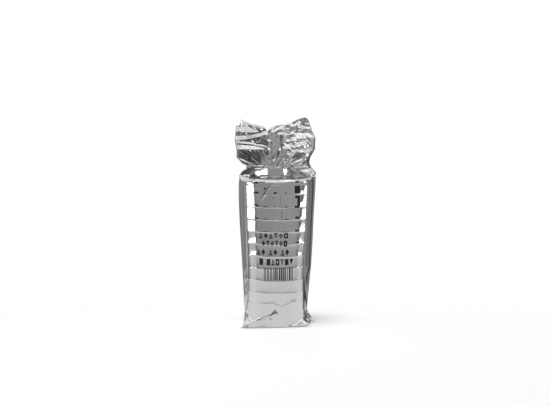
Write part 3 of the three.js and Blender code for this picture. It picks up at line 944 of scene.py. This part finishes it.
def table_material():
    """White, a little bright of itself, and fading out in a ring far from the bag, sooner behind."""
    material, tree, shader = new_material("pale_table")
    shader.inputs["Base Color"].default_value = (0.82, 0.82, 0.82, 1)
    shader.inputs["Roughness"].default_value = 0.7
    shader.inputs["Emission Color"].default_value = (1, 1, 1, 1)
    shader.inputs["Emission Strength"].default_value = TABLE_GLOW
    place = out_of(tree, add_node(tree, "ShaderNodeTexCoord", {}, {}), "Object")
    parts = add_node(tree, "ShaderNodeSeparateXYZ", {}, {"Vector": place})
    behind = out_of(tree, parts, "Y")
    behind = behind + behind.maths("MAXIMUM", behind, 0.0) * 7.0
    stretched = add_node(tree, "ShaderNodeCombineXYZ", {}, {"X": out_of(tree, parts, "X"), "Y": behind})
    away = add_node(tree, "ShaderNodeVectorMath", {"operation": "LENGTH"}, {0: out_of(tree, stretched)})
    ring = {"Value": out_of(tree, away, "Value"), "From Min": FADE_START, "From Max": TABLE_REACH}
    fade = add_node(tree, "ShaderNodeMapRange", {"interpolation_type": "SMOOTHSTEP"}, ring)
    clear = add_node(tree, "ShaderNodeBsdfTransparent", {}, {})
    blend = add_node(tree, "ShaderNodeMixShader", {}, {0: out_of(tree, fade)})
    tree.links.new(shader.outputs[0], blend.inputs[1])
    tree.links.new(clear.outputs[0], blend.inputs[2])
    tree.links.new(blend.outputs[0], tree.nodes["Material Output"].inputs["Surface"])
    return material


def table():
    """A disc of rings round the bag's foot, just under it."""
    radius = np.linspace(0, TABLE_REACH / MM, RINGS + 1)[1:, None]
    turn = np.linspace(0, 2 * np.pi, SPOKES + 1)[:-1]
    sunk = 0 * radius * turn - TABLE_SINK
    rings = np.stack([radius * np.cos(turn), radius * np.sin(turn), sunk], -1)
    points = np.vstack([rings.reshape(-1, 3), [[0, 0, -TABLE_SINK]]])
    ring = np.arange(SPOKES)
    inner = np.stack([ring, (ring + 1) % SPOKES, np.full(SPOKES, len(points) - 1)], -1)
    faces = [*grid_faces(RINGS, SPOKES)[:, ::-1], *inner]
    return make_mesh("table", points, faces, table_material())


table()
print("table radius, m:", TABLE_REACH)

# %% [markdown]
# The room shows in every facet that doesn't face a lamp or the table. It is painted by direction
# with a few ramps, which is quicker to tune than real walls: uprights at eye level, a darker zone
# over them, and a cloudy ceiling. The camera itself sees a plain white ground.

# %% Room
def room():
    """The world: white for the camera, and even grey for diffuse light. For reflections it is a grey
    room: near the horizon even in front, with dark and pale uprights at the sides and behind, and
    higher up dark on the left, grey in the middle, dark again and then pale on the right. Bright
    patches lie over the highest part."""
    world = bpy.data.worlds.new("room")
    bpy.context.scene.world = world
    world.use_nodes = True
    tree = world.node_tree
    direction = out_of(tree, add_node(tree, "ShaderNodeTexCoord", {}, {}), "Generated")
    parts = add_node(tree, "ShaderNodeSeparateXYZ", {}, {"Vector": direction})
    side, depth, rise = (out_of(tree, parts, axis) for axis in "XYZ")

    def ramp(value, stops):
        return out_of(tree, add_node(tree, "ShaderNodeValToRGB", {"stops": stops}, {"Fac": value}))

    def blend(factor, first, second):
        mixed = {"Factor": factor, "A": first, "B": second}
        return out_of(tree, add_node(tree, "ShaderNodeMix", {"data_type": "RGBA"}, mixed), "Result")

    turn = side.maths("ARCTAN2", side, depth * -1.0) * (0.5 / math.pi) + 0.5
    walls = ramp(turn, [
        (0.0, 0.2), (0.08, 0.3), (0.12, 0.2), (0.145, 0.8), (0.165, 0.32), (0.19, 0.3), (0.22, 0.16),
        (0.25, 0.5), (0.3, 0.4), (0.306, 0.14), (0.321, 0.14), (0.329, 0.4), (0.44, 0.4), (0.5, 0.43),
        (0.62, 0.46), (0.69, 0.42), (0.698, 0.14), (0.715, 0.14), (0.725, 0.4), (0.76, 0.4),
        (0.785, 0.22), (0.82, 0.24), (0.84, 0.3), (0.855, 0.42), (0.875, 0.35), (0.9, 0.08), (1.0, 0.08),
    ])
    above = ramp(side * 0.5 + 0.5, [
        (0.05, 0.07), (0.25, 0.06), (0.36, 0.24), (0.5, 0.42), (0.6, 0.38), (0.7, 0.15),
        (0.82, 0.15), (0.95, 0.6),
    ])
    behind = ramp(side * 0.5 + 0.5, [(0.3, 0.9), (0.6, 0.12)])
    above = blend(ramp(depth * 0.5 + 0.5, [(0.6, 0.0), (0.72, 1.0)]), above, behind)
    patches = add_node(tree, "ShaderNodeTexNoise", {}, {"Vector": direction, "Scale": 7.0, "Detail": 3.0})
    patches = ramp(out_of(tree, patches, "Fac"), [(0.35, 0.5), (0.65, 2.2)])
    above = add_node(tree, "ShaderNodeVectorMath", {"operation": "MULTIPLY"}, {0: above, 1: patches})
    glossy = blend(ramp(rise, [(0.02, 0.0), (0.22, 1.0)]), walls, out_of(tree, above))
    clouds = add_node(tree, "ShaderNodeTexNoise", {}, {"Vector": direction, "Scale": 2.6, "Detail": 1.5})
    ceiling = ramp(out_of(tree, clouds, "Fac"), [(0.38, 0.45), (0.5, 0.7), (0.6, 1.0)])
    ceiling = add_node(tree, "ShaderNodeVectorMath", {"operation": "SCALE"}, {0: ceiling, "Scale": 1.8})
    up = rise + depth.maths("MINIMUM", depth, 0.0) * 0.35
    glossy = blend(ramp(up, [(0.40, 0.0), (0.50, 1.0)]), glossy, out_of(tree, ceiling))
    path = add_node(tree, "ShaderNodeLightPath", {}, {})
    lit = blend(out_of(tree, path, "Is Glossy Ray"), (0.36, 0.36, 0.36, 1), glossy)
    shown = blend(out_of(tree, path, "Is Camera Ray"), lit, (1, 1, 1, 1))
    tree.links.new(shown.socket, tree.nodes["Background"].inputs["Color"])
    return world


print("room nodes:", len(room().node_tree.nodes))

# %% [markdown]
# Two tall soft panels stand beside the bag and make the white upright strips. The two other lamps
# are kept out of the reflections: a faint window, and a key panel high over the left front that
# faces down and throws the bag's soft shadow on the table.

# %% Soft panels
KEY_TURN, KEY_TILT = -46, 8.5


def soft_panel(name, azimuth, distance, width, low, high, radiance):
    """An upright lit panel that faces the bag: azimuth 0 is the camera's side, over 0 to the right."""
    lamp = bpy.data.lights.new(name, "AREA")
    lamp.shape = "RECTANGLE"
    lamp.size, lamp.size_y = width, high - low
    lamp.energy = radiance * math.pi * width * (high - low)
    panel = bpy.data.objects.new(name, lamp)
    turn = math.radians(azimuth)
    panel.location = (distance * math.sin(turn), -distance * math.cos(turn), (low + high) / 2)
    panel.rotation_euler = (math.pi / 2, 0, turn)
    panel.visible_camera = False
    bpy.context.collection.objects.link(panel)
    return panel


soft_panel("left_panel", -80, 0.65, 0.28, 0.0, 0.14, 4.2).visible_diffuse = False
soft_panel("right_panel", 88, 0.65, 0.28, 0.0, 0.14, 3.6)
window = soft_panel("window_panel", -50, 0.8, 0.4, 0.1, 0.5, 0.4)
window.visible_glossy = False
key = soft_panel("key_panel", KEY_TURN, 0.18, 0.3, 1.05, 1.35, 24.0)
key.rotation_euler = (math.radians(KEY_TILT), 0, math.radians(KEY_TURN))
key.visible_glossy = False
print("lamps:", [lamp.name for lamp in bpy.data.lights])
